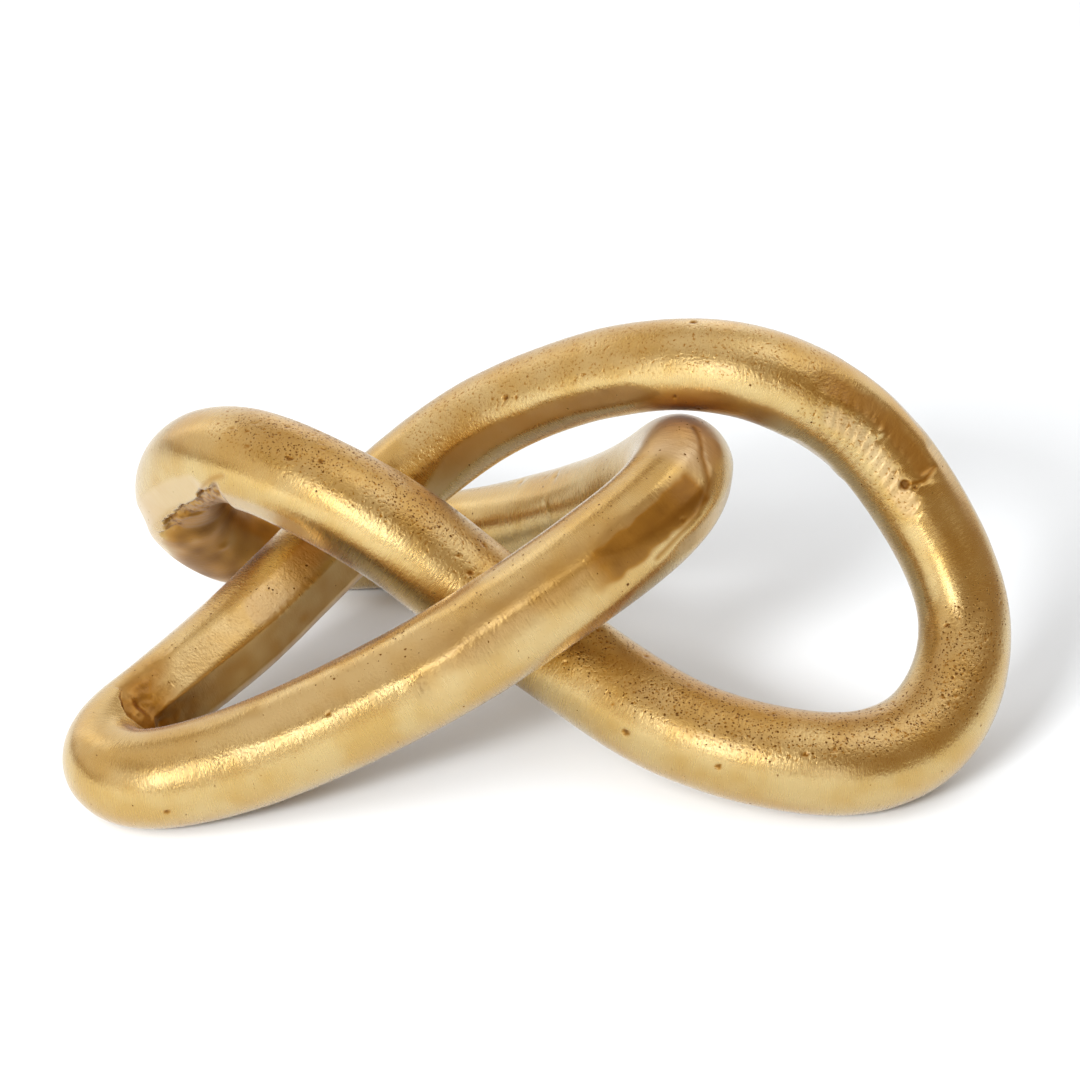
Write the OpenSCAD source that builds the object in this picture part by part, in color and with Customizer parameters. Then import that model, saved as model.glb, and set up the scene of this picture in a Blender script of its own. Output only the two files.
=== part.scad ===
// Cast knot shelf ornament: one round strand that runs in a closed, interlaced loop.
// Six sand castings are butted end to end, each joint is a V groove filled by a weld,
// and three small flats are ground where the strand rests on the shelf.
// Millimetres. X runs along the length, Y from front to back, Z up from the shelf.

/* [Strand] */
// thickness of the whole strand against its measured thickness
strand_scale = 1; // [0.9:0.01:1.01]
// number of sides of the strand section
sides = 24; // [16:2:32]
// rings laid between two route handles
steps = 5; // [3:1:6]
// how close the inside of a tight bend may come to its centre of curvature (1 = touching it)
pinch = 0.84; // [0.7:0.01:0.9]

/* [Welds] */
// radius of the flat root face where two castings touch
root_r = 6.5; // [5:0.1:9]
// how far a weld stands proud of the strand
crown = 0.3; // [0:0.05:0.6]

/* [Locating spigots] */
// radius of the cast spigot on the leading end of a casting
spigot_r = 3; // [2:0.1:4]
// length of the spigot beyond the root face
spigot_len = 8; // [5:0.5:12]
// clearance around the spigot in its socket
socket_gap = 0.1; // [0.05:0.05:0.4]
// extra depth of the socket beyond the spigot tip
socket_spare = 0.8; // [0.2:0.1:2]

/* [Colours] */
// colour of the cast strand
cast_colour = [0.78, 0.62, 0.32];
// colour of the welds, dressed back and a shade paler
weld_colour = [0.84, 0.70, 0.42];

/* [Hidden] */

// Route handles [x, y, z, strand radius]. A closed cubic B-spline runs through them.
right_foot = [[82, -62, 13.7, 14.4], [55, -56, 14.5, 14.5], [32, -46, 19, 14.7]];
under_front = [[14, -31, 25, 15], [-2, -20, 32, 15.2], [-19, -12, 40.5, 15.6]];
over_left_riser = [[-39, -6, 56, 15.8], [-58, -1, 66, 15.5], [-76, 5, 73, 15.3]];
left_bend = [[-92, 16, 73, 15], [-107, 31, 62, 14.8], [-112, 46, 40, 14.7], [-99, 61, 19, 14.6]];
rear_foot = [[-76, 69, 13.7, 14.4], [-45, 71, 13.5, 14.4], [-19, 64, 21, 14.1]];
rear_riser = [[2, 48, 35, 13.8], [20, 28, 51, 13.8], [33, 13, 66, 14.2]];
top_bend = [[39, 1, 78, 14.6], [40, -14, 82, 15], [34, -28, 78, 15.3]];
front_strand = [[18, -36, 67.5, 15.6], [-3, -43, 54.5, 15.5], [-21, -49, 44, 15.4],
                [-38, -53, 35, 15.4], [-60, -58, 25.5, 15.3], [-82, -63, 17.5, 15]];
left_foot = [[-102, -68, 14, 14.3], [-115, -67.5, 13, 13.6], [-123, -58.5, 13, 13],
             [-121, -46, 15.5, 12.4], [-112, -37, 18.5, 12.4]];
left_riser = [[-102, -28, 23, 13], [-88, -14, 29, 13.5], [-71, 9, 37.5, 13.8]];
behind_loop = [[-54, 27, 47.5, 13.6], [-35, 34, 62, 13.5], [-18, 30, 77.5, 13]];
arch = [[3, 21, 92, 12.9], [23, 12, 102, 13.1], [42, 5, 107, 13.4], [60, 0, 106.5, 13.6]];
right_shoulder = [[78, -1, 98.5, 13.6], [92, -2, 88, 13.6], [104, -8, 74, 13.4]];
right_side = [[114, -16, 59, 13], [120, -24, 45, 13], [120, -33, 34, 13.4],
              [116, -42, 25, 13.9], [108, -51, 17, 14.3], [96, -57, 13.7, 14.4]];
route = concat(right_foot, under_front, over_left_riser, left_bend, rear_foot, rear_riser,
               top_bend, front_strand, left_foot, left_riser, behind_loop, arch,
               right_shoulder, right_side);

// shift that puts the middle of the whole ornament over the origin
centring = [0.8, -1.3, 0];

handles = len(route);
rings = handles * steps;

// joints as [ring, rings of groove on each side], counted along the route from the right foot
joint_left_bend = [11 * steps, 1];
joint_rear_run = [16 * steps, 1];
joint_top_bend = [round(19.4 * steps), 2];
joint_front_bend = [32 * steps, 2];
joint_left_riser = [35 * steps, 1];
joint_right_shoulder = [45 * steps, 2];
// the right shoulder comes before the route's start, so the main loop runs on past it
joint_left_bend_again = joint_left_bend + [rings, 0];

function wrap(i, n) = ((i % n) + n) % n;
function unit(v) = v / norm(v);
function handle(i) = route[wrap(i, handles)];

// point of the B-spline, t from 0 to 1 between handle i and handle i + 1
function spline(i, t) =
    (pow(1 - t, 3) * handle(i - 1)
     + (3 * pow(t, 3) - 6 * pow(t, 2) + 4) * handle(i)
     + (-3 * pow(t, 3) + 3 * pow(t, 2) + 3 * t + 1) * handle(i + 1)
     + pow(t, 3) * handle(i + 2)) / 6;

// every ring centre, its radius and its direction, worked out once
line = [for (k = [0:rings - 1]) spline(floor(k / steps), (k % steps) / steps)];
function centre(k) = let (p = line[wrap(k, rings)]) [p[0], p[1], p[2]] + centring;
function radius(k) = line[wrap(k, rings)][3] * strand_scale;
function along(k) = unit(centre(k + 1) - centre(k - 1));
function across(k) = let (d = along(k)) unit([d[1], -d[0], 0]);
function upward(k) = cross(across(k), along(k));
// how sharply the route turns at ring k, towards the centre of the bend
function turning(k) = (along(k + 1) - along(k - 1)) / norm(centre(k + 1) - centre(k - 1));

// the inside of a bend is held back so that neighbouring rings never cross
function held(v, turn) =
    norm(turn) < 0.001 ? v :
    let (inward = unit(turn), limit = pinch / norm(turn), reach = v * inward)
    reach > limit ? v - (reach - limit) * inward : v;
function ring(k, r) =
    let (c = centre(k), a = across(k), u = upward(k), turn = turning(k))
    [for (j = [0:sides - 1])
        let (angle = 360 * j / sides)
        c + held(r * (cos(angle) * a + sin(angle) * u), turn)];

// side faces between the rings of a tube, two triangles for each four points
function skin(n) = [for (k = [0:n - 2], j = [0:sides - 1])
    let (a = k * sides + j, b = k * sides + (j + 1) % sides, c = b + sides, d = a + sides)
    each [[a, b, c], [a, c, d]]];

// one casting from joint a to joint b, with coned ends down to the root faces
module casting_body(a, b) {
    tube = [for (k = [a[0] + a[1]:b[0] - b[1]]) each ring(k, radius(k))];
    points = concat(ring(a[0], root_r), tube, ring(b[0], root_r));
    n = len(points) / sides;
    near_end = [for (j = [0:sides - 1]) sides - 1 - j];
    far_end = [for (j = [0:sides - 1]) (n - 1) * sides + j];
    polyhedron(points = points, faces = concat([near_end], skin(n), [far_end]), convexity = 8);
}

// places children at ring k with Z along the strand, turned a little about it so that
// the facets of a spigot never line up with the corners of the root face
module at_ring(k) {
    c = centre(k);
    a = across(k);
    d = along(k);
    u = cross(d, a);
    multmatrix([[a[0], u[0], d[0], c[0]],
                [a[1], u[1], d[1], c[1]],
                [a[2], u[2], d[2], c[2]],
                [0, 0, 0, 1]])
        rotate(2.4) children();
}

module spigot(k) {
    at_ring(k) translate([0, 0, -4]) cylinder(r = spigot_r, h = spigot_len + 4, $fn = 48);
}

module socket(k) {
    at_ring(k) translate([0, 0, -1])
        cylinder(r = spigot_r + socket_gap, h = spigot_len + socket_spare + 1, $fn = 48);
}

// everything below the shelf, taken off the feet to grind their flats
module below_shelf() {
    translate([-200, -200, -20]) cube([400, 400, 20]);
}

// a casting: a socket at its first joint, a spigot at its last, and a flat if it has a foot
module casting(a, b, socketed = true, spigoted = true, foot = false) {
    union() {
        difference() {
            casting_body(a, b);
            if (socketed) socket(a[0]);
            if (foot) below_shelf();
        }
        if (spigoted) spigot(b[0]);
    }
}

// the weld fills the V groove of a joint, from the root circle out to a low crown
module weld(joint) {
    k = joint[0];
    reach = joint[1];
    bead = [for (i = [-reach:reach])
        each ring(k + i, radius(k + i) + crown * (1 - pow(i / reach, 2)))];
    points = concat(bead, ring(k, root_r));
    loops = 2 * reach + 2;
    faces = [for (s = [0:loops - 1], j = [0:sides - 1])
        let (a = s * sides + j, b = s * sides + (j + 1) % sides, next = (s + 1) % loops,
             c = next * sides + (j + 1) % sides, d = next * sides + j)
        each (s < 2 * reach ? [[a, b, c], [a, c, d]] : [[a, b, d], [b, c, d]])];
    polyhedron(points = points, faces = faces, convexity = 4);
}

module main_loop_casting() {
    color(cast_colour) casting(joint_right_shoulder, joint_left_bend_again,
                                 socketed = false, foot = true);
}
module rear_run_casting() {
    color(cast_colour) casting(joint_left_bend, joint_rear_run, foot = true);
}
module rear_riser_casting() {
    color(cast_colour) casting(joint_rear_run, joint_top_bend);
}
module front_strand_casting() {
    color(cast_colour) casting(joint_top_bend, joint_front_bend, foot = true);
}
module left_riser_casting() {
    color(cast_colour) casting(joint_front_bend, joint_left_riser);
}
// the arch closes the loop, so its far end is butted without a spigot
module arch_casting() {
    color(cast_colour) casting(joint_left_riser, joint_right_shoulder, spigoted = false);
}
module left_bend_weld() { color(weld_colour) weld(joint_left_bend); }
module rear_run_weld() { color(weld_colour) weld(joint_rear_run); }
module top_bend_weld() { color(weld_colour) weld(joint_top_bend); }
module front_bend_weld() { color(weld_colour) weld(joint_front_bend); }
module left_riser_weld() { color(weld_colour) weld(joint_left_riser); }
module right_shoulder_weld() { color(weld_colour) weld(joint_right_shoulder); }

main_loop_casting();
rear_run_casting();
rear_riser_casting();
front_strand_casting();
left_riser_casting();
arch_casting();
left_bend_weld();
rear_run_weld();
top_bend_weld();
front_bend_weld();
left_riser_weld();
right_shoulder_weld();
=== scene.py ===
"""Looks of the cast knot ornament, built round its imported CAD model.

The strand is swept once as a fine closed skin round the CAD's own route. The flats, edges,
pits and dents that casting, filing and welding left on it change that skin's radius, and
only the finest grain and file marks are bump. The skin is then cut at the welded joints, so
that each casting and each weld is a piece of its own.

Lengths are in metres and angles in degrees unless a name says otherwise. A place on the
strand is (station, angle): the station counts route handles from the right foot, and the
angle runs round the section from 0 at the right of the direction of travel to 90 on top.
"""

import math

import bpy
import numpy as np
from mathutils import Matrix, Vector


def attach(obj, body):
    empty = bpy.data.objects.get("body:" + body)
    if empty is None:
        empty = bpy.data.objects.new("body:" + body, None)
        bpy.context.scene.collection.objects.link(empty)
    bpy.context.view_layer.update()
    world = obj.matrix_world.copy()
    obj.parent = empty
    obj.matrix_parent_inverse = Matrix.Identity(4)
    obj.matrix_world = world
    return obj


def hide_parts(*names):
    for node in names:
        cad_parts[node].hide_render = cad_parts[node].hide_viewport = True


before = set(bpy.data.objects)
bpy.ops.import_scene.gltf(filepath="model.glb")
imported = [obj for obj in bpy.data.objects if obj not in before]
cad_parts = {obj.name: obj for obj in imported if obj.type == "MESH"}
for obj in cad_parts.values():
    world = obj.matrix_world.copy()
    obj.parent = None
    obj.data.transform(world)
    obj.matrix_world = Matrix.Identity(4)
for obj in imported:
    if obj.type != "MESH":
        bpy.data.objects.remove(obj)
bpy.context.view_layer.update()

MM = 0.001
SEED = 7

# ---------------------------------------------------------------- camera
AIM = Vector((-0.2, 12.7, 45.0)) * MM
ELEVATION = math.radians(28.0)
DISTANCE = 850 * MM
SENSOR, LENS = 36.0, 95.5


def add_camera():
    """A camera straight in front of the ornament, looking down on it."""
    data = bpy.data.cameras.new("camera")
    data.sensor_width, data.lens = SENSOR, LENS
    data.clip_start, data.clip_end = 0.05, 50.0
    camera = bpy.data.objects.new("camera", data)
    back = Vector((0.0, -math.cos(ELEVATION), math.sin(ELEVATION)))
    camera.location = AIM + back * DISTANCE
    camera.rotation_euler = (-back).to_track_quat("-Z", "Y").to_euler()
    bpy.context.collection.objects.link(camera)
    bpy.context.scene.camera = camera


add_camera()

# ---------------------------------------------------------------- route, as in the CAD
# handles (x, y, z, strand radius) in millimetres, in the order of travel
RIGHT_FOOT = [(82, -62, 13.7, 14.4), (55, -56, 14.5, 14.5), (32, -46, 19, 14.7)]
UNDER_FRONT = [(14, -31, 25, 15), (-2, -20, 32, 15.2), (-19, -12, 40.5, 15.6)]
OVER_LEFT_RISER = [(-39, -6, 56, 15.8), (-58, -1, 66, 15.5), (-76, 5, 73, 15.3)]
LEFT_BEND = [(-92, 16, 73, 15), (-107, 31, 62, 14.8), (-112, 46, 40, 14.7), (-99, 61, 19, 14.6)]
REAR_FOOT = [(-76, 69, 13.7, 14.4), (-45, 71, 13.5, 14.4), (-19, 64, 21, 14.1)]
REAR_RISER = [(2, 48, 35, 13.8), (20, 28, 51, 13.8), (33, 13, 66, 14.2)]
TOP_BEND = [(39, 1, 78, 14.6), (40, -14, 82, 15), (34, -28, 78, 15.3)]
FRONT_STRAND = [(18, -36, 67.5, 15.6), (-3, -43, 54.5, 15.5), (-21, -49, 44, 15.4),
                (-38, -53, 35, 15.4), (-60, -58, 25.5, 15.3), (-82, -63, 17.5, 15)]
LEFT_FOOT = [(-102, -68, 14, 14.3), (-115, -67.5, 13, 13.6), (-123, -58.5, 13, 13),
             (-121, -46, 15.5, 12.4), (-112, -37, 18.5, 12.4)]
LEFT_RISER = [(-102, -28, 23, 13), (-88, -14, 29, 13.5), (-71, 9, 37.5, 13.8)]
BEHIND_LOOP = [(-54, 27, 47.5, 13.6), (-35, 34, 62, 13.5), (-18, 30, 77.5, 13)]
ARCH = [(3, 21, 92, 12.9), (23, 12, 102, 13.1), (42, 5, 107, 13.4), (60, 0, 106.5, 13.6)]
RIGHT_SHOULDER = [(78, -1, 98.5, 13.6), (92, -2, 88, 13.6), (104, -8, 74, 13.4)]
RIGHT_SIDE = [(114, -16, 59, 13), (120, -24, 45, 13), (120, -33, 34, 13.4),
              (116, -42, 25, 13.9), (108, -51, 17, 14.3), (96, -57, 13.7, 14.4)]
CENTRING = np.array([0.8, -1.3, 0.0]) * MM
ROUTE = np.array(RIGHT_FOOT + UNDER_FRONT + OVER_LEFT_RISER + LEFT_BEND + REAR_FOOT
                 + REAR_RISER + TOP_BEND + FRONT_STRAND + LEFT_FOOT + LEFT_RISER
                 + BEHIND_LOOP + ARCH + RIGHT_SHOULDER + RIGHT_SIDE) * MM
HANDLES = len(ROUTE)
STEPS = 5          # CAD rings laid between two handles
PINCH = 0.84       # how close the inside of a bend may come to its centre of curvature
MEAN_RADIUS = 14 * MM
SCORED_RADIUS = 14.5 * MM   # mean radius where lines are scored
ROOT_RADIUS = 6.5 * MM
SPIGOT_RADIUS, SPIGOT_LENGTH = 3 * MM, 8 * MM
SOCKET_RADIUS, SOCKET_DEPTH = 3.1 * MM, 8.8 * MM

# joint: (CAD ring at its middle, rings of groove on each side)
JOINTS = {
    "left_bend": (11 * STEPS, 1),
    "rear_run": (16 * STEPS, 1),
    "top_bend": (round(19.4 * STEPS), 2),
    "front_bend": (32 * STEPS, 2),
    "left_riser": (35 * STEPS, 1),
    "right_shoulder": (45 * STEPS, 2),
}
# casting: (joint it starts from, joint it runs to, has a socket, has a spigot)
CASTINGS = {
    "main_loop": ("right_shoulder", "left_bend", False, True),
    "rear_run": ("left_bend", "rear_run", True, True),
    "rear_riser": ("rear_run", "top_bend", True, True),
    "front_strand": ("top_bend", "front_bend", True, True),
    "left_riser": ("front_bend", "left_riser", True, True),
    "arch": ("left_riser", "right_shoulder", True, False),
}

# ---------------------------------------------------------------- fine grid over the strand
FINE = 7           # rows of the skin to one CAD ring
ROWS = HANDLES * STEPS * FINE
COLUMNS = 150
RING = 1 / STEPS   # one CAD ring, in handles

station = np.arange(ROWS) / (STEPS * FINE)
# the columns start underneath, so that the texture's seam is out of sight
angle = -90 + 360 * np.arange(COLUMNS) / COLUMNS


def unit(v):
    return v / np.linalg.norm(v, axis=-1, keepdims=True)


def spline(s):
    """Centre and radius of the strand at stations s: a closed cubic B-spline."""
    i = np.floor(s).astype(int)
    t = (s - i)[:, None]
    before, here, after, later = (ROUTE[(i + k) % HANDLES] for k in (-1, 0, 1, 2))
    return ((1 - t) ** 3 * before + (3 * t**3 - 6 * t**2 + 4) * here
            + (-3 * t**3 + 3 * t**2 + 3 * t + 1) * after + t**3 * later) / 6


def centre(s):
    return spline(s)[:, :3] + CENTRING


def along(s):
    return unit(centre(s + RING) - centre(s - RING))


def turning(s):
    """Curvature vector of the route, towards the centre of the bend."""
    span = np.linalg.norm(centre(s + RING) - centre(s - RING), axis=1, keepdims=True)
    return (along(s + RING) - along(s - RING)) / span


def section_axes(s):
    """The section's axes at stations s: right of travel, and up."""
    forward = along(s)
    right = unit(np.stack([forward[:, 1], -forward[:, 0], 0 * forward[:, 0]], axis=1))
    return right, np.cross(right, forward)


def swept(s, angles, radius):
    """Points at a radius round the route, held back on the inside of tight bends."""
    right, up = section_axes(s)
    a = np.radians(angles)[None, :, None]
    offset = radius[..., None] * (np.cos(a) * right[:, None] + np.sin(a) * up[:, None])
    bend = turning(s)
    sharpness = np.linalg.norm(bend, axis=1)
    inward = bend / np.maximum(sharpness, 1e-9)[:, None]
    reach = np.einsum("ijk,ik->ij", offset, inward)
    over = np.maximum(reach - (PINCH / np.maximum(sharpness, 1e-9))[:, None], 0)
    return centre(s)[:, None] + offset - over[..., None] * inward[:, None]


route_radius = spline(station)[:, 3]
step_lengths = np.linalg.norm(np.roll(centre(station), -1, axis=0) - centre(station), axis=1)
run = np.concatenate([[0], np.cumsum(step_lengths)[:-1]])
LENGTH = step_lengths.sum()
plain = swept(station, angle, np.repeat(route_radius[:, None], COLUMNS, axis=1))


# ---------------------------------------------------------------- noise
def lattice(i, j, k, seed):
    """A repeatable random number from -1 to 1 for each whole-number place.

    Multiplying by large odd numbers and folding the high bits down scrambles the place.
    """
    h = (i * 374761393 + j * 668265263 + k * 1274126177 + seed * 974634777) & 0xFFFFFFFF
    h = ((h ^ (h >> 13)) * 1274126177) & 0xFFFFFFFF
    h = ((h ^ (h >> 16)) * 2246822519) & 0xFFFFFFFF
    return ((h ^ (h >> 15)) & 0xFFFFFF) / 0x7FFFFF - 1


def noise(points, size, seed=0):
    """Smooth value noise from about -1 to 1, with lumps of the given size."""
    q = points / size
    cell = np.floor(q).astype(np.int64)
    f = q - cell
    w = f * f * (3 - 2 * f)
    total = 0
    for corner in range(8):
        bits = [corner >> axis & 1 for axis in range(3)]
        weight = 1
        for axis, bit in enumerate(bits):
            weight = weight * (w[..., axis] if bit else 1 - w[..., axis])
        total = total + weight * lattice(*(cell[..., axis] + bit
                                           for axis, bit in enumerate(bits)), SEED + seed)
    return total


def smooth(edge0, edge1, x):
    t = np.clip((x - edge0) / (edge1 - edge0), 0, 1)
    return t * t * (3 - 2 * t)


def wrapped(x, period):
    return (x + period / 2) % period - period / 2


def run_at(s):
    """Distance along the strand at a station."""
    return np.interp(s % HANDLES, np.append(station, HANDLES), np.append(run, LENGTH))


def stations_from(s):
    """Signed distance in stations of every row from station s."""
    return wrapped(station - s, HANDLES)[:, None]


def angles_from(a):
    """Signed angle of every column from a, which may differ from row to row."""
    return wrapped(angle[None, :] - a, 360)


def round_arc(a):
    """Distance round the section that an angle stands for."""
    return np.radians(a) * route_radius[:, None]


def along_run(s):
    return wrapped(run - run_at(s), LENGTH)[:, None]


def band(s0, s1, fade0, fade1):
    """1 between two stations, fading to 0 over the given numbers of stations."""
    x = stations_from((s0 + s1) / 2)
    half = (s1 - s0) / 2
    return smooth(-half - fade0, -half, x) * (1 - smooth(half, half + fade1, x))


# ---------------------------------------------------------------- the skin and its marks
skin = np.repeat(route_radius[:, None], COLUMNS, axis=1)
filed = np.zeros_like(skin)     # dressed with a file: smooth, paler, streaked across
patina_and_shade = np.zeros_like(skin)    # dark wax in hollows and pits, and painted shade and painted dark reflections
pitting = np.zeros_like(skin)   # small casting pits
sandy = np.zeros_like(skin)     # grain of the sand mould


def smooth_min(a, b, k):
    h = np.clip(0.5 + 0.5 * (b - a) / k, 0, 1)
    return b + (a - b) * h - k * h * (1 - h)


def file_flat(s0, s1, a0, a1, depth0, depth1, fade0=0.5, fade1=0.5, edge=0.5, shine=0.6,
              clear=0.03):
    """Files a flat along the strand.

    Its middle runs from angle a0 to a1 and its depth, a share of the radius, from depth0 to
    depth1. edge is the softness of its edges in millimetres, and clear the share of the radius
    by which the file stays clear of the strand beyond the flat's ends.
    """
    global skin, filed
    t = np.clip(stations_from(s0) / (s1 - s0), 0, 1)
    middle = a0 + (a1 - a0) * t
    depth = depth0 + (depth1 - depth0) * t
    plane = route_radius[:, None] * (1 + clear - (depth + clear) * band(s0, s1, fade0, fade1))
    plane = plane + 0.1 * MM * noise(plain, 9 * MM, 11)
    away = angles_from(middle)
    cosine = np.cos(np.radians(np.clip(away, -75, 75)))
    cut = smooth_min(skin, plane / cosine, edge * MM)
    filed = np.maximum(filed, shine * smooth(0.02 * MM, 0.35 * MM, skin - cut))
    skin = cut


def dent(s, a, size_along, size_round, depth, turn=0.0):
    """A soft hollow, or with a negative depth a soft lump."""
    global skin
    x, y = along_run(s), round_arc(angles_from(a))
    c, d = math.cos(math.radians(turn)), math.sin(math.radians(turn))
    far = ((c * x + d * y) / size_along) ** 2 + ((c * y - d * x) / size_round) ** 2
    skin = skin - depth * np.exp(-far)


def pit(s, a, size, depth, dark=0.8):
    """A single round casting pit with a sharp rim."""
    rows = int(2 * size / (LENGTH / ROWS)) + 2
    middle = round(s * STEPS * FINE)
    r = (np.arange(middle - rows, middle + rows + 1)) % ROWS
    x = wrapped(run[r] - run_at(s), LENGTH)[:, None]
    y = np.radians(wrapped(angle[None, :] - a, 360)) * route_radius[r][:, None]
    wobble = 1 + 0.35 * noise(plain[r], 0.9 * size, 23)
    inside = 1 - smooth(0.55, 1.1, np.sqrt(x**2 + y**2) / (size * wobble))
    skin[r] -= depth * inside
    patina_and_shade[r] = np.maximum(patina_and_shade[r], dark * inside)


def gold_skin():
    """The cast strand's own unevenness, before any filing."""
    global skin
    skin = skin + 0.22 * MM * noise(plain, 42 * MM, 1) + 0.14 * MM * noise(plain, 19 * MM, 2)
    skin = skin + 0.07 * MM * noise(plain, 8 * MM, 3) - 0.1 * MM


def left_riser_faces():
    """The left riser was filed to flat faces, cut in hard where the bend begins."""
    file_flat(31.5, 33.6, 52, 56, 0.12, 0.07, fade0=0.35, fade1=1.0, edge=0.5, shine=0.2)
    file_flat(31.6, 36.0, 2, 6, 0.12, 0.085, fade0=0.35, fade1=1.2, edge=0.2, shine=0.1)
    # painted highlight: this flat is coloured paler than the others to stand in for the riser's
    # highlight
    file_flat(34.1, 35.3, 52, 54, 0.07, 0.075, fade0=0.5, fade1=0.4, edge=0.8, shine=0.7)


def arch_faces():
    """A long filed face under the arch's highlight, and smaller ones over the shoulder."""
    file_flat(37.0, 40.2, -16, -14, 0.055, 0.05, fade0=0.6, fade1=0.9, edge=0.25)
    file_flat(41.2, 42.6, -25, -30, 0.02, 0.02, fade0=0.7, fade1=0.6, edge=0.9, shine=0.2)


def shoulder_faces():
    """The closing joint, at the right shoulder, was dressed by hand in several flats."""
    file_flat(43.2, 45.2, 12, 26, 0.035, 0.04, fade0=0.4, fade1=0.4, edge=0.4, shine=0.6)
    file_flat(42.9, 44.9, 46, 68, 0.04, 0.045, fade0=0.5, fade1=0.06, edge=0.25, shine=0.1)
    file_flat(43.2, 44.3, 112, 112, 0.02, 0.02, fade0=0.4, fade1=0.3, edge=0.5, shine=0.2)
    file_flat(44.7, 45.7, 100, 100, 0.025, 0.02, fade0=0.2, fade1=0.5, edge=0.5, shine=0.2)
    file_flat(43.0, 43.9, -60, -60, 0.03, 0.03, fade0=0.3, fade1=0.2, edge=0.4, shine=0.2)
    file_flat(44.3, 45.6, -60, -60, 0.03, 0.02, fade0=0.2, fade1=0.5, edge=0.4, shine=0.2)


def left_bend_faces():
    """The left bend's outer face was filed smooth up to the weld's ragged edge."""
    file_flat(9.1, 10.7, 200, 212, 0.06, 0.045, fade0=0.35, fade1=1.5, edge=0.6, shine=0.8)
    file_flat(7.4, 8.7, 212, 214, 0.05, 0.05, fade0=0.6, fade1=0.3, edge=0.5, shine=0.3)


def front_strand_faces():
    """Soft faces that break up the long highlight of the front strand."""
    file_flat(22.2, 24.6, 170, 171, -0.03, -0.02, fade0=1.4, fade1=0.6, edge=3.6, shine=0.2,
              clear=0.25)
    file_flat(24.3, 26.6, 118, 112, 0.0, 0.0, fade0=0.9, fade1=1.0, edge=2.6, shine=0.2,
              clear=0.19)
    file_flat(20.2, 21.8, 128, 136, 0.05, 0.05, fade0=0.4, fade1=0.5, edge=0.35, shine=0.2)
    file_flat(19.8, 21.2, 186, 192, 0.04, 0.04, fade0=0.4, fade1=0.5, edge=0.35, shine=0.3)
    dent(24.1, 172, 8 * MM, 8 * MM, -0.3 * MM)


def ragged_weld_edge():
    """The torn edge of the left bend's weld: a ledge that drops into the dark inner fold."""
    global skin, patina_and_shade, filed
    stations = [8.5, 8.9, 9.25, 9.9, 10.4, 10.75, 11.2, 12.6]
    angles = [178, 199, 214, 227, 236, 243, 252, 262]
    drop, wall, recovery = 2.6 * MM, 1.5 * MM, 16 * MM
    broken_width = (np.interp(station, [8.6, 9.3, 9.9, 10.8], [3, 9, 10, 3]) * MM)[:, None]
    line = np.stack([run, 0 * run, 0 * run], axis=1)
    jitter = noise(line, 3.1 * MM, 31) * 1.1 * MM + noise(line, 1.3 * MM, 32) * 0.6 * MM
    edge = np.interp(station, stations, angles)[:, None]
    side = round_arc(angles_from(edge)) + jitter[:, None]
    present = band(8.8, 10.6, 0.25, 0.3)
    below = smooth(-0.2 * MM, wall, side)
    lumps = noise(plain, 2.4 * MM, 33) * 0.6 * MM + noise(plain, 1.0 * MM, 34) * 0.3 * MM
    broken = smooth(0, 0.5 * MM, side) * present
    broken = broken * (1 - smooth(0, 1.5 * MM, side - broken_width + 2 * lumps))
    skin = skin - drop * np.exp(-np.maximum(side, 0) / recovery) * below * present
    skin = skin + lumps * broken
    skin = skin + 0.12 * MM * np.exp(np.minimum(side, 0) / (1.5 * MM)) * (1 - below) * present
    torn = 0.34 + 0.4 * smooth(-0.1, 0.7, noise(plain, 1.6 * MM, 35))
    patina_and_shade = np.maximum(patina_and_shade, torn * broken)
    filed = filed * (1 - smooth(-0.3 * MM, 0.3 * MM, side) * band(8.8, 12.6, 0.25, 0.5))

    # behind the broken edge painted shade darkens the fold, right round to the strand above it
    fold = smooth(0, 2.5 * MM, side) * (1 - smooth(140, 168, angles_from(edge)))
    fold = fold * band(9.0, 12.5, 0.3, 0.6) * (0.45 + 0.55 * smooth(0, 9 * MM, side))
    cloud = 0.85 + 0.3 * noise(plain, 5 * MM, 36)
    patina_and_shade = np.maximum(patina_and_shade, 0.72 * cloud * fold)
    dent(11.35, 335, 2.2 * MM, 1.2 * MM, -0.5 * MM, turn=50)


def front_notch():
    """The notch inside the front-left bend: a rough hollow darkened with painted shade."""
    global patina_and_shade, skin
    ragged = 0.08 * noise(plain, 4 * MM, 37) + 0.04 * noise(plain, 1.4 * MM, 38)
    start = np.interp(angle, [10, 30, 60, 75, 90], [30.9, 30.7, 30.65, 31.0, 31.4])[None, :]
    into = station[:, None] - start + ragged
    hollow = smooth(-0.02, 0.05, into) * (1 - smooth(0.9, 1.9, into))
    hollow = hollow * np.exp(-(angles_from(40) / 55) ** 4)
    cloud = 0.85 + 0.3 * noise(plain, 4 * MM, 40)
    # painted shade in the hollow
    patina_and_shade = np.maximum(patina_and_shade, 0.72 * cloud * hollow)
    skin = skin - 1.1 * MM * hollow + 0.4 * MM * hollow * noise(plain, 2.2 * MM, 39)
    # painted shade: the left riser's lower face is darkened
    lower_face = band(32.2, 35.8, 0.4, 0.6) * np.exp(-(angles_from(-8) / 36) ** 6)
    patina_and_shade = np.maximum(patina_and_shade, 0.38 * cloud * lower_face)


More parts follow.
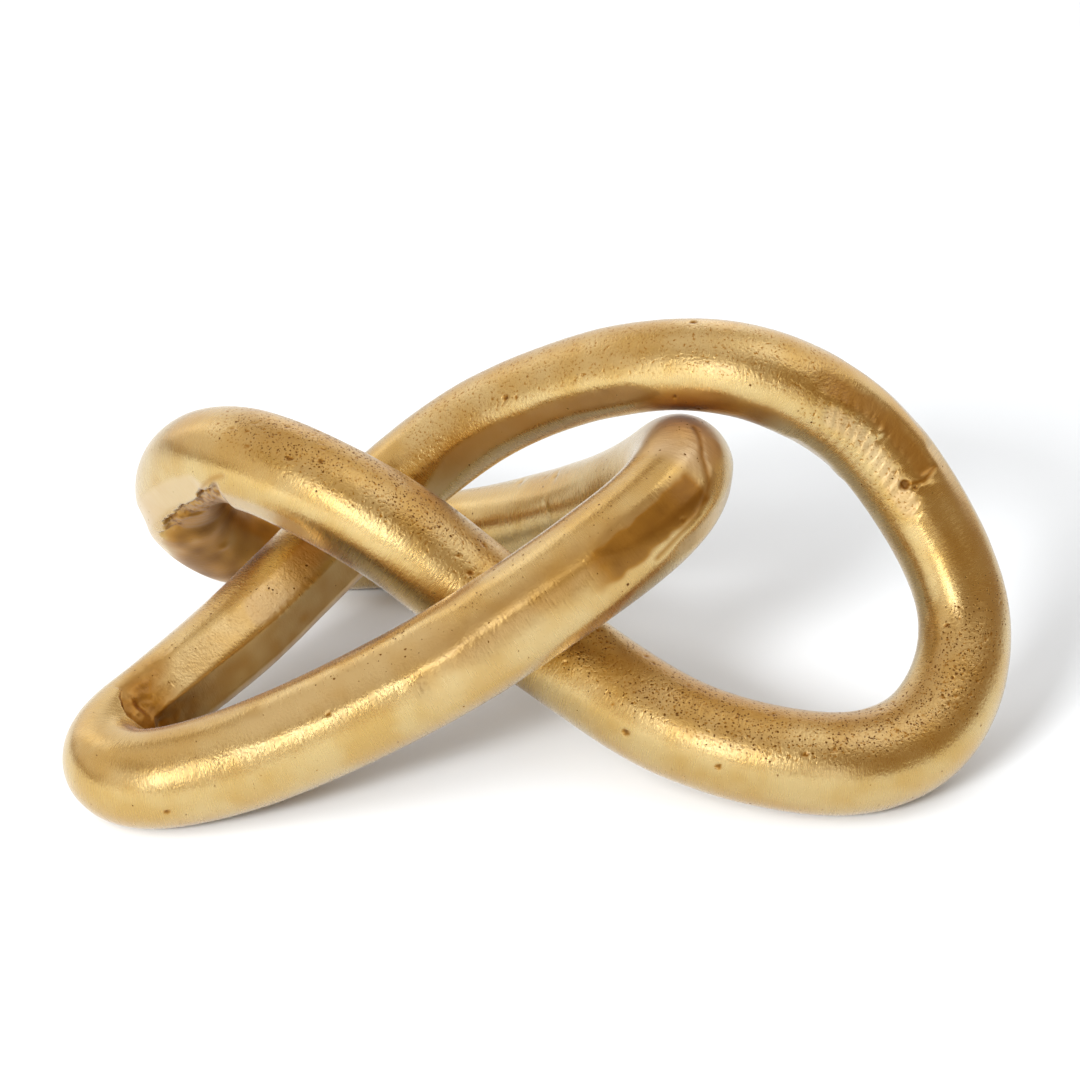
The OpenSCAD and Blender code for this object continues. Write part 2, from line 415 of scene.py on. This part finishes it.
def dark_faces():
    """Painted shade: dark reflections by the top bend and shoulder, contact shadow by the arch."""
    global patina_and_shade, filed
    thin = 1 + 0.12 * noise(plain, 3 * MM, 43)
    ragged = 3 * noise(plain, 3 * MM, 44)
    # painted dark reflections beside the top bend and on the shoulder
    middle = np.interp(station, [20.8, 22.0], [141, 156])[:, None]
    beside = band(20.8, 22.0, 0.15, 0.5) * np.exp(-((angles_from(middle) + ragged) / 21) ** 12)
    middle = np.interp(station, [43.3, 44.9], [47, 68])[:, None]
    shoulder = band(43.1, 44.92, 0.5, 0.04) * np.exp(-((angles_from(middle) + ragged) / 15) ** 6)
    # painted contact shadow on the arch's underside, where the top bend all but touches it
    contact_shadow = band(40.6, 42.2, 0.5, 0.5) * np.exp(-(angles_from(-42) / 30) ** 4)
    # a fainter darkening along the front strand and on top of the right foot
    trail = band(21.6, 24.0, 0.4, 0.9) * np.exp(-((angles_from(138) + 2 * ragged) / 24) ** 4)
    painted_darkening = np.maximum(np.maximum(0.64 * beside, 0.42 * shoulder), 0.46 * contact_shadow)
    inner_foot = band(-0.6, 2.6, 1.0, 0.6) * np.exp(-((angles_from(78) + 2 * ragged) / 26) ** 4)
    painted_darkening = np.maximum(painted_darkening, np.maximum(0.2 * trail, 0.26 * inner_foot))
    patina_and_shade = np.maximum(patina_and_shade, thin * painted_darkening)
    worn = 1.6 * band(19.2, 20.5, 0.4, 0.3) * np.exp(-(angles_from(95) / 45) ** 4)
    filed = np.maximum(filed, worn)


def touching_strands():
    """The top bend and the arch swell a little where they all but touch."""
    dent(19.75, 92, 13 * MM, 8 * MM, -0.32 * MM)
    dent(41.5, 268, 13 * MM, 8 * MM, -0.22 * MM)


def shoulder_puddle():
    """The last weld's run ends in a sharp toe across the right shoulder."""
    global skin, patina_and_shade
    past = along_run(45.08) - round_arc(0.25 * angles_from(55))
    past = past + 0.9 * MM * noise(plain, 3.5 * MM, 41)
    height = 0.2 * MM * smooth(-0.3 * MM, 0.6 * MM, past)
    height = height * np.exp(-np.maximum(past, 0) / (9 * MM))
    arc = smooth(16, 30, angle)[None, :] * (1 - smooth(62, 92, angle))[None, :]
    skin = skin + height * arc
    hollow = np.exp(-(past / (0.9 * MM)) ** 2) * arc * smooth(-0.2, 0.5, noise(plain, 3 * MM, 42))
    patina_and_shade = np.maximum(patina_and_shade, 0.55 * hollow)
    dent(44.05, 33, 1.0 * MM, 3.2 * MM, 0.35 * MM, turn=-20)
    dent(43.95, 36, 0.9 * MM, 2.4 * MM, -0.35 * MM, turn=-20)
    dent(44.6, 33, 0.8 * MM, 2.2 * MM, 0.25 * MM, turn=-20)


def chatter(s0, s1, a0, a1, half_round, wavelength, height, slant=0.0):
    """Ripples that a file leaves across its path when it chatters."""
    global skin
    t = np.clip(stations_from(s0) / (s1 - s0), 0, 1)
    side = round_arc(angles_from(a0 + (a1 - a0) * t))
    here = band(s0, s1, 0.12, 0.12) * np.exp(-(side / half_round) ** 4)
    phase = (run[:, None] + slant * side + 0.6 * MM * noise(plain, 4 * MM, 51)) / wavelength
    uneven = 0.6 + 0.4 * noise(plain, 2.5 * MM, 52)
    skin = skin + height * here * uneven * np.sin(2 * math.pi * phase)


def score(line, width, depth, dark):
    """Scores a thin line through a list of (station, angle) places."""
    global skin, patina_and_shade
    nearest = np.full(skin.shape, 1.0)
    for (s0, a0), (s1, a1) in zip(line, line[1:]):
        x, y = along_run(s0), round_arc(angles_from(a0))
        dx = run_at(s1) - run_at(s0)
        dy = math.radians(a1 - a0) * SCORED_RADIUS
        t = np.clip((x * dx + y * dy) / (dx * dx + dy * dy), 0, 1)
        nearest = np.minimum(nearest, np.hypot(x - t * dx, y - t * dy))
    mark = np.exp(-(nearest / width) ** 2)
    skin = skin - depth * mark
    patina_and_shade = np.maximum(patina_and_shade, dark * mark)


def scored_lines():
    """Creases at the edge of hand-filed faces."""
    rim = [(19.95, 102), (20.4, 126), (20.6, 148), (20.95, 166), (21.6, 182)]
    score(rim, 0.8 * MM, 0.22 * MM, 0.42)
    score([(44.9, 38), (45.0, 56), (44.93, 80)], 0.8 * MM, 0.25 * MM, 0.55)
    score([(8.5, 174), (8.68, 182), (8.95, 199)], 0.8 * MM, 0.3 * MM, 0.3)


def rear_riser_marks():
    """Two bruises on top of the rear riser and a bright scar below them."""
    dent(15.95, 74, 1.6 * MM, 2.4 * MM, 0.35 * MM, turn=25)
    dent(16.6, 62, 1.0 * MM, 2.6 * MM, 0.4 * MM, turn=25)
    dent(16.58, 17, 0.7 * MM, 3.2 * MM, -0.3 * MM, turn=20)
    for s, a in ((15.95, 74), (16.6, 62), (16.4, 66)):
        pit(s, a, 0.7 * MM, 0.15 * MM, dark=0.35)


def sand_grain():
    """Grain of the sand mould on the faces that no file reached."""
    global skin, sandy
    over_arch = band(37.4, 42.6, 0.6, 0.8) * np.exp(-(angles_from(52) / 42) ** 4)
    over_left = band(4.2, 8.6, 0.8, 0.5) * np.exp(-(angles_from(105) / 42) ** 4)
    under_left_foot = band(24.3, 28.8, 0.8, 0.6) * np.exp(-(angles_from(135) / 35) ** 4) * 0.3
    right_run = band(-4.0, 3.2, 1.0, 0.6) * np.exp(-(angles_from(112) / 45) ** 4) * 0.7
    riser = band(32.0, 36.0, 0.4, 0.8) * np.exp(-(angles_from(70) / 45) ** 4) * 0.35
    patch = band(42.9, 45.2, 0.4, 0.3) * np.exp(-(angles_from(14) / 30) ** 4) * 0.6
    sandy = 0.3 + over_arch + over_left + under_left_foot + right_run + riser + patch
    sandy = np.clip(sandy, 0, 1)
    grain = noise(plain, 1.5 * MM, 61) * 0.035 * MM + noise(plain, 0.95 * MM, 62) * 0.022 * MM
    skin = skin + grain * sandy


def casting_pits():
    """Pits crowd the strand's upper faces, where gas rose in the mould."""
    global pitting
    upper = np.exp(-(angles_from(92) / 38) ** 4)
    left = band(4.3, 8.2, 0.9, 0.6) * upper
    right = band(-4.6, 3.4, 0.9, 0.7) * np.exp(-(angles_from(100) / 40) ** 4)
    top = band(19.8, 25.0, 0.4, 1.5) * np.exp(-(angles_from(95) / 30) ** 4) * 0.12
    riser = band(32.2, 36.0, 0.5, 0.5) * np.exp(-(angles_from(88) / 25) ** 4) * 0.06
    patchy = smooth(-0.9, 0.25, noise(plain, 11 * MM, 71))
    pitting = np.clip((1.5 * left + 1.6 * right + top + riser) * patchy + 0.01, 0, 1)
    random = np.random.default_rng(SEED)
    for _ in range(4000):
        row, column = random.integers(ROWS), random.integers(COLUMNS)
        size = random.uniform(0.4, 0.62 + 0.3 * random.random()) * MM
        if random.random() < pitting[row, column] ** 1.5 * 0.6:
            pit(station[row], angle[column], size, 0.35 * size, dark=random.uniform(0.35, 0.8))


# pits large enough to pick out one by one: (station, angle, radius, depth) in millimetres
BIG_PITS = [
    (7.75, 129, 1.0, 0.5), (7.42, 118, 0.8, 0.4), (38.67, 24, 1.1, 0.5), (38.8, 20, 0.6, 0.3),
    (5.20, 132, 1.1, 0.5), (5.45, 126, 0.7, 0.3), (2.12, 174, 1.1, 0.5), (1.12, 171, 0.9, 0.4),
    (41.08, 90, 0.9, 0.4), (44.88, 34, 1.5, 0.9), (45.02, 44, 0.8, 0.5), (0.3, 140, 0.8, 0.4),
    (35.9, 12, 0.9, 0.4), (25.9, 140, 0.6, 0.25), (40.9, -22, 0.7, 0.3), (13.4, 40, 1.0, 0.5),
    (28.2, 190, 0.8, 0.3), (47.6, 60, 0.8, 0.4), (17.8, 250, 0.9, 0.4), (42.3, 160, 0.9, 0.4),
]

gold_skin()
left_riser_faces()
arch_faces()
shoulder_faces()
left_bend_faces()
front_strand_faces()
ragged_weld_edge()
front_notch()
dark_faces()
touching_strands()
shoulder_puddle()
chatter(42.9, 45.4, 8, 28, 7.0 * MM, 3.3 * MM, 0.16 * MM, slant=0.35)
chatter(34.2, 34.8, 27, 31, 2.0 * MM, 2.8 * MM, 0.14 * MM, slant=0.5)
scored_lines()
rear_riser_marks()
sand_grain()
for big in BIG_PITS:
    pit(big[0], big[1], big[2] * MM, big[3] * MM)
casting_pits()

surface = swept(station, angle, skin)
surface[..., 2] = np.maximum(surface[..., 2], 0)   # the three ground flats


def surface_normals(points):
    """Normals of the closed grid, so that shading runs unbroken across the pieces."""
    lengthways = np.roll(points, -1, axis=0) - np.roll(points, 1, axis=0)
    round_ways = np.roll(points, -1, axis=1) - np.roll(points, 1, axis=1)
    return unit(np.cross(lengthways, round_ways))


normals = surface_normals(surface)


# ---------------------------------------------------------------- materials
GOLD = (0.70, 0.52, 0.225)
GOLD_DEEP = (0.63, 0.41, 0.12)
GOLD_PALE = (0.84, 0.66, 0.42)
AMBER = (0.44, 0.212, 0.028)
WAX_AND_SHADE = (0.13, 0.052, 0.010)
POLISH = 0.17      # roughness of the smoothest metal

# file marks and ripples: (size along the strand, size round it)
MARKS = (0.5 * MM, 6 * MM)
COARSE_MARKS = (1.1 * MM, 5 * MM)
RIPPLE = (2.6 * MM, 4.2 * MM)
GRAIN = 0.8 * MM
# small pits: (cell that holds one at most, share of the cells where they are densest)
WIDE_PITS = (1.15 * MM, 1.0)
FINE_PITS = (0.75 * MM, 0.8)
# heights of the bump in millimetres, as the height node takes them
MARK_HEIGHT, COARSE_HEIGHT, RIPPLE_HEIGHT = 0.035, 0.15, 0.065
GRAIN_HEIGHT, PIT_DEPTH = 0.22, 0.14


class Nodes:
    """Short calls for building one material's node tree."""

    def __init__(self, material):
        material.use_nodes = True
        self.tree = material.node_tree
        self.tree.nodes.clear()

    def add(self, kind, **settings):
        node = self.tree.nodes.new(kind)
        for name, value in settings.items():
            setattr(node, name, value)
        return node

    def link(self, source, target):
        self.tree.links.new(source, target)

    def put(self, value, socket):
        """Links a socket to a socket, or sets a plain value on it."""
        if isinstance(value, bpy.types.NodeSocket):
            self.link(value, socket)
        else:
            socket.default_value = value

    def math(self, operation, a, b=0.0, clamp=False):
        node = self.add("ShaderNodeMath", operation=operation, use_clamp=clamp)
        self.put(a, node.inputs[0])
        self.put(b, node.inputs[1])
        return node.outputs[0]

    def scaled(self, value, gain, offset):
        """value * gain + offset."""
        result = self.math("MULTIPLY_ADD", value, gain)
        result.node.inputs[2].default_value = offset
        return result

    def mix(self, factor, a, b):
        """Mixes two colours."""
        node = self.add("ShaderNodeMix", data_type="RGBA")
        self.put(factor, node.inputs[0])
        for colour, socket in ((a, node.inputs[6]), (b, node.inputs[7])):
            self.put(colour if isinstance(colour, bpy.types.NodeSocket) else (*colour, 1), socket)
        return node.outputs[2]

    def ramp(self, value, low, high):
        """Runs from 0 to 1 as value goes from low to high."""
        node = self.add("ShaderNodeMapRange", interpolation_type="SMOOTHSTEP")
        self.put(value, node.inputs["Value"])
        node.inputs["From Min"].default_value = low
        node.inputs["From Max"].default_value = high
        return node.outputs["Result"]

    def noise(self, vector, size, detail=2.0):
        """Noise from 0 to 1 with lumps of about the given size in metres."""
        node = self.add("ShaderNodeTexNoise")
        self.link(vector, node.inputs["Vector"])
        node.inputs["Scale"].default_value = 1 / size
        node.inputs["Detail"].default_value = detail
        return node.outputs["Fac"]

    def attribute(self, name):
        return self.add("ShaderNodeAttribute", attribute_name=name).outputs["Fac"]


def streaks(n, size_along, size_round):
    """Fine file marks that run across the strand, in the strand's own coordinates."""
    uv = n.add("ShaderNodeUVMap", uv_map="strand")
    stretch = n.add("ShaderNodeVectorMath", operation="MULTIPLY")
    n.link(uv.outputs["UV"], stretch.inputs[0])
    stretch.inputs[1].default_value = (1 / size_along, 1 / size_round, 0)
    node = n.add("ShaderNodeTexNoise")
    n.link(stretch.outputs[0], node.inputs["Vector"])
    node.inputs["Scale"].default_value = 1.0
    node.inputs["Detail"].default_value = 3.0
    return node.outputs["Fac"]


def small_pits(n, place, density, cell, keep):
    """Dark pits scattered one to a cell. keep is the share of cells that have one at most."""
    wander = n.add("ShaderNodeTexNoise")
    n.link(place, wander.inputs["Vector"])
    wander.inputs["Scale"].default_value = 1.6 / cell
    shifted = n.add("ShaderNodeVectorMath", operation="MULTIPLY_ADD")
    n.link(wander.outputs["Color"], shifted.inputs[0])
    shifted.inputs[1].default_value = (0.6 * cell,) * 3
    n.link(place, shifted.inputs[2])
    cells = n.add("ShaderNodeTexVoronoi", feature="F1")
    n.link(shifted.outputs[0], cells.inputs["Vector"])
    cells.inputs["Scale"].default_value = 1 / cell
    colour = n.add("ShaderNodeSeparateColor")
    n.link(cells.outputs["Color"], colour.inputs["Color"])
    chosen = n.math("LESS_THAN", colour.outputs[0], n.math("MULTIPLY", density, keep))
    reach = n.scaled(colour.outputs[1], 0.22, 0.14)
    near = n.math("DIVIDE", cells.outputs["Distance"], reach)
    return n.math("MULTIPLY", chosen, n.ramp(near, 1.15, 0.55))


def antique_gold(name, streak):
    """Cast metal under a thin gold finish. streak is the strength of its file marks."""
    material = bpy.data.materials.new(name)
    n = Nodes(material)
    place = n.add("ShaderNodeTexCoord").outputs["Object"]
    filed_here, wax_and_shade_here = n.attribute("filed"), n.attribute("patina_and_shade")
    pits_here, sandy_here = n.attribute("pitting"), n.attribute("sandy")

    marks, coarse_marks, ripple = (streaks(n, *size) for size in (MARKS, COARSE_MARKS, RIPPLE))
    grain = n.noise(place, GRAIN, 3.0)
    pits = n.math("MAXIMUM", small_pits(n, place, pits_here, *WIDE_PITS),
                  small_pits(n, place, pits_here, *FINE_PITS))

    tone = n.mix(n.ramp(n.noise(place, 16 * MM), 0.35, 0.65), GOLD_DEEP, GOLD)
    tone = n.mix(n.math("MULTIPLY", filed_here, 0.55), tone, GOLD_PALE)
    mottle = n.ramp(n.noise(place, 2.2 * MM, 4.0), 0.60, 0.80)
    tone = n.mix(n.math("MULTIPLY", mottle, n.math("MULTIPLY", sandy_here, 0.35)), tone, GOLD_DEEP)
    rugged = n.math("MULTIPLY", n.ramp(sandy_here, 0.5, 0.95), 0.55)
    valleys = n.math("MULTIPLY", n.ramp(grain, 0.46, 0.30), rugged)
    dark = n.math("MAXIMUM", wax_and_shade_here, n.math("MULTIPLY", pits, 0.92))
    dark = n.math("MAXIMUM", dark, valleys)
    dark = n.math("MAXIMUM", dark, n.math("MULTIPLY", pits_here, 0.14))
    # thin wax and faint painted shade tint the metal amber, thick wax and deep painted shade hide
    # it
    doubled = n.math("MULTIPLY", dark, 2.0)
    colour = n.mix(n.math("MINIMUM", doubled, 1.0), tone, AMBER)
    colour = n.mix(n.math("MAXIMUM", n.math("SUBTRACT", doubled, 1.0), 0.0), colour, WAX_AND_SHADE)

    rough = n.scaled(marks, 0.16, POLISH)
    rough = n.math("ADD", rough, n.math("MULTIPLY", dark, 0.25))
    rough = n.math("ADD", rough, n.math("MULTIPLY", filed_here, 0.12))
    rough = n.math("ADD", rough, n.math("MULTIPLY", sandy_here, 0.04), clamp=True)

    marked = n.scaled(filed_here, MARK_HEIGHT * streak, MARK_HEIGHT * streak)
    height = n.math("MULTIPLY", marks, marked)
    height = n.math("ADD", height, n.math("MULTIPLY", ripple, RIPPLE_HEIGHT))
    scratched = n.math("MULTIPLY", filed_here, COARSE_HEIGHT * streak)
    height = n.math("ADD", height, n.math("MULTIPLY", coarse_marks, scratched))
    grained = n.math("MULTIPLY", sandy_here, GRAIN_HEIGHT)
    height = n.math("ADD", height, n.math("MULTIPLY", grain, grained))
    height = n.math("SUBTRACT", height, n.math("MULTIPLY", pits, PIT_DEPTH))
    bump = n.add("ShaderNodeBump")
    bump.inputs["Strength"].default_value = 1.0
    bump.inputs["Distance"].default_value = MM
    n.link(height, bump.inputs["Height"])

    shader = n.add("ShaderNodeBsdfPrincipled")
    n.link(colour, shader.inputs["Base Color"])
    n.link(rough, shader.inputs["Roughness"])
    n.link(bump.outputs["Normal"], shader.inputs["Normal"])
    shader.inputs["Metallic"].default_value = 1.0
    # the lacquer and its dust have worn off where the wax is thick, and thin under painted shade
    # too
    n.link(n.math("SUBTRACT", 0.9, n.math("MULTIPLY", dark, 0.7)), shader.inputs["Coat Weight"])
    dust = n.math("SUBTRACT", 0.13, n.math("MULTIPLY", dark, 0.2), clamp=True)
    n.link(dust, shader.inputs["Sheen Weight"])
    shader.inputs["Coat Roughness"].default_value = 0.25
    shader.inputs["Sheen Roughness"].default_value = 0.4
    shader.inputs["Sheen Tint"].default_value = (1.0, 0.92, 0.88, 1.0)
    shader.inputs["Coat IOR"].default_value = 1.5
    out = n.add("ShaderNodeOutputMaterial")
    n.link(shader.outputs["BSDF"], out.inputs["Surface"])
    return material


cast_gold = antique_gold("antique_gold_casting", 1.0)
weld_gold = antique_gold("dressed_weld", 1.3)


# ---------------------------------------------------------------- pieces
def ring_of(s, radius, shift):
    """A plain ring round the route at one station, shifted along it by a distance."""
    s = np.array([s], float)
    right, up = section_axes(s)
    a = np.radians(angle)[:, None]
    return centre(s) + shift * along(s) + radius * (np.cos(a) * right + np.sin(a) * up)


def build_mesh(name, rings, marks, closed=False):
    """A mesh from a list of rings, and its quads and end caps.

    marks holds the skin's marks by name. closed joins the last ring to the first.
    """
    points = np.concatenate(rings)
    n = len(rings)
    rows = n if closed else n - 1
    i, j = np.meshgrid(np.arange(rows), np.arange(COLUMNS), indexing="ij")
    i2, j2 = (i + 1) % n, (j + 1) % COLUMNS
    quads = np.stack([i * COLUMNS + j, i2 * COLUMNS + j, i2 * COLUMNS + j2, i * COLUMNS + j2],
                     axis=-1).reshape(-1, 4)
    caps = [] if closed else [np.arange(COLUMNS), (n * COLUMNS - 1) - np.arange(COLUMNS)]
    loops = np.concatenate([quads.ravel(), *caps])
    sizes = np.concatenate([np.full(len(quads), 4), [len(c) for c in caps]]).astype(int)
    starts = np.concatenate([[0], np.cumsum(sizes)[:-1]])

    mesh = bpy.data.meshes.new(name)
    mesh.vertices.add(len(points))
    mesh.vertices.foreach_set("co", points.ravel())
    mesh.loops.add(len(loops))
    mesh.loops.foreach_set("vertex_index", loops)
    mesh.polygons.add(len(sizes))
    mesh.polygons.foreach_set("loop_start", starts)
    mesh.polygons.foreach_set("loop_total", sizes)
    mesh.update(calc_edges=True)
    mesh.polygons.foreach_set("use_smooth", np.ones(len(sizes), bool))

    for mark, values in marks.items():
        layer = mesh.attributes.new(mark, "FLOAT", "POINT")
        layer.data.foreach_set("value", np.concatenate(values).astype(np.float32))
    return mesh, quads, caps


def uv_of(distances, quads, caps):
    """The strand's own coordinates in metres: along it, and round it from underneath."""
    turn = 2 * math.pi * np.arange(COLUMNS + 1) / COLUMNS
    row, column = quads // COLUMNS, quads % COLUMNS
    wraps = (column[:, [2]] == 0) & (column == 0)
    column = np.where(wraps, COLUMNS, column)
    uv = np.stack([distances[row], MEAN_RADIUS * turn[column]], axis=-1).reshape(-1, 2)
    flat = [np.zeros((len(c), 2)) for c in caps]
    return np.concatenate([uv, *flat])


def piece(name, first, last, ends=((), ()), material=cast_gold, inner=None):
    """One casting or weld: the skin between two CAD rings, with its hidden end faces.

    ends holds the (station, radius, shift) of the extra rings before and after the skin, and
    inner a ring that closes the skin on itself, as a weld's root does.
    """
    picked = np.arange(first * FINE, last * FINE + 1)
    rows = picked % ROWS
    before = [ring_of(*e) for e in ends[0]]
    after = [ring_of(*e) for e in ends[1]]
    if inner is not None:
        after = [ring_of(*inner)]
    rings = before + [surface[r] for r in rows] + after
    first_normal, last_normal = normals[rows[0]], normals[rows[-1]]
    ring_normals = ([first_normal] * len(before) + [normals[r] for r in rows]
                    + [last_normal] * len(after))
    marks = {}
    for mark, field in (("filed", filed), ("patina_and_shade", patina_and_shade), ("pitting", pitting),
                        ("sandy", sandy)):
        blank = np.zeros(COLUMNS)
        marks[mark] = ([blank] * len(before) + [field[r] for r in rows] + [blank] * len(after))
    mesh, quads, caps = build_mesh(name, rings, marks, closed=inner is not None)
    distances = picked * (LENGTH / ROWS)
    distances = np.concatenate([np.full(len(before), distances[0]), distances,
                                np.full(len(after), distances[-1])])
    layer = mesh.uv_layers.new(name="strand")
    uv = uv_of(distances, quads, caps)
    layer.data.foreach_set("uv", uv.astype(np.float32).ravel())
    mesh.normals_split_custom_set_from_vertices(np.concatenate(ring_normals))
    mesh.materials.append(material)
    made = bpy.data.objects.new(name, mesh)
    bpy.context.collection.objects.link(made)
    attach(made, "root")
    return made


def add_casting(name, start, end, socketed, spigoted):
    (a, groove_a), (b, groove_b) = JOINTS[start], JOINTS[end]
    if b < a:
        b += HANDLES * STEPS
    sa, sb = a * RING, b * RING
    before = [(sa, ROOT_RADIUS, 0.0)]
    if socketed:
        before = [(sa, SOCKET_RADIUS, SOCKET_DEPTH), (sa, SOCKET_RADIUS, 0.0)] + before
    after = [(sb, ROOT_RADIUS, 0.0)]
    if spigoted:
        after = after + [(sb, SPIGOT_RADIUS, 0.0), (sb, SPIGOT_RADIUS, SPIGOT_LENGTH)]
    made = piece(name, a + groove_a, b - groove_b, ends=(before, after))
    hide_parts(name)


def add_weld(name, joint):
    ring, groove = JOINTS[joint]
    made = piece(name, ring - groove, ring + groove, material=weld_gold,
                 inner=(ring * RING, ROOT_RADIUS, 0.0))
    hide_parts(name)


for name, details in CASTINGS.items():
    add_casting(name + "_casting", *details)
for name in JOINTS:
    add_weld(name + "_weld", name)
for name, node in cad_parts.items():
    node.data.materials.clear()
    node.data.materials.append(weld_gold if name.endswith("_weld") else cast_gold)


# ---------------------------------------------------------------- studio
FLOOR_RADIUS = 6.0
FLOOR = (0.68, 0.67, 0.66)
FLOOR_IN_METAL = (0.53, 0.505, 0.465)
# surroundings: (colour, strength)
ROOM = ((1.0, 1.0, 1.0), 0.61)
FAR_END = ((1.0, 0.67, 0.32), 0.38)
DAYLIGHT = (0.95, 1.0, 1.05)


def add_floor():
    """A plain pale floor, which the metal reflects a shade darker."""
    material = bpy.data.materials.new("floor")
    n = Nodes(material)
    shader = n.add("ShaderNodeBsdfPrincipled")
    in_metal = n.add("ShaderNodeLightPath").outputs["Is Glossy Ray"]
    n.link(n.mix(in_metal, FLOOR, FLOOR_IN_METAL), shader.inputs["Base Color"])
    shader.inputs["Roughness"].default_value = 0.9
    shader.inputs["Specular IOR Level"].default_value = 0.2
    out = n.add("ShaderNodeOutputMaterial")
    n.link(shader.outputs["BSDF"], out.inputs["Surface"])
    bpy.ops.mesh.primitive_circle_add(vertices=96, radius=FLOOR_RADIUS, fill_type="NGON")
    floor = bpy.context.object
    floor.name = "floor"
    floor.data.materials.append(material)


def add_softbox(name, azimuth, elevation, distance, width, height, radiance, glossy=True,
                aim=AIM):
    """A soft rectangular light aimed at the ornament, or at another point.

    azimuth 0 is the camera's side and positive is to its right. radiance is its brightness
    as seen from the ornament, on the scale where the white surroundings are 1. A light that
    isn't glossy only lights the floor and makes no highlight.
    """
    data = bpy.data.lights.new(name, "AREA")
    data.shape = "RECTANGLE"
    data.size, data.size_y = width, height
    data.energy = radiance * math.pi * width * height
    data.color = DAYLIGHT
    light = bpy.data.objects.new(name, data)
    a, e = math.radians(azimuth), math.radians(elevation)
    direction = Vector((math.sin(a) * math.cos(e), -math.cos(a) * math.cos(e), math.sin(e)))
    light.location = aim + direction * distance
    light.rotation_euler = direction.to_track_quat("Z", "Y").to_euler()
    light.visible_camera = False
    light.visible_glossy = glossy
    bpy.context.collection.objects.link(light)


def add_surroundings():
    """A white room, whose reflection in the metal is the dim warm far end of the studio."""
    world = bpy.data.worlds.new("surroundings")
    bpy.context.scene.world = world
    n = Nodes(world)
    path = n.add("ShaderNodeLightPath")
    either = n.add("ShaderNodeMixShader")
    n.link(path.outputs["Is Glossy Ray"], either.inputs[0])
    for (colour, strength), socket in ((ROOM, either.inputs[1]), (FAR_END, either.inputs[2])):
        background = n.add("ShaderNodeBackground")
        background.inputs["Color"].default_value = (*colour, 1)
        background.inputs["Strength"].default_value = strength
        n.link(background.outputs[0], socket)
    out = n.add("ShaderNodeOutputWorld")
    n.link(either.outputs[0], out.inputs["Surface"])


# lights seen in the metal: (name, azimuth, elevation, distance, width, height, radiance)
SOFTBOXES = [
    ("front_strip", -18, 24, 0.61, 0.13, 0.32, 3.6),
    ("front_wide", -40, 16, 1.8, 1.6, 1.4, 0.58),
    ("front_right", 8, 10, 1.0, 0.30, 0.35, 0.9),
    ("left_wall", -100, 30, 1.8, 2.2, 1.5, 0.52),
    ("back_left", -155, 26, 1.8, 2.0, 1.7, 0.62),
    ("back_right", 150, 26, 1.8, 1.9, 1.7, 0.65),
    ("right_top", 88, 62, 1.6, 1.3, 1.1, 0.9),
    ("overhead", -60, 80, 1.6, 1.6, 1.5, 0.5),
]

add_floor()
add_surroundings()
for softbox in SOFTBOXES:
    add_softbox(*softbox)
add_softbox("shadow_key", -31, 27, 3.5, 0.85, 0.75, 78.0, glossy=False)
add_softbox("floor_pool", -45, 65, 0.9, 0.8, 0.8, 5.0, glossy=False,
            aim=Vector((-0.45, -0.45, 0.0)))
bpy.context.scene.view_settings.view_transform = "Standard"
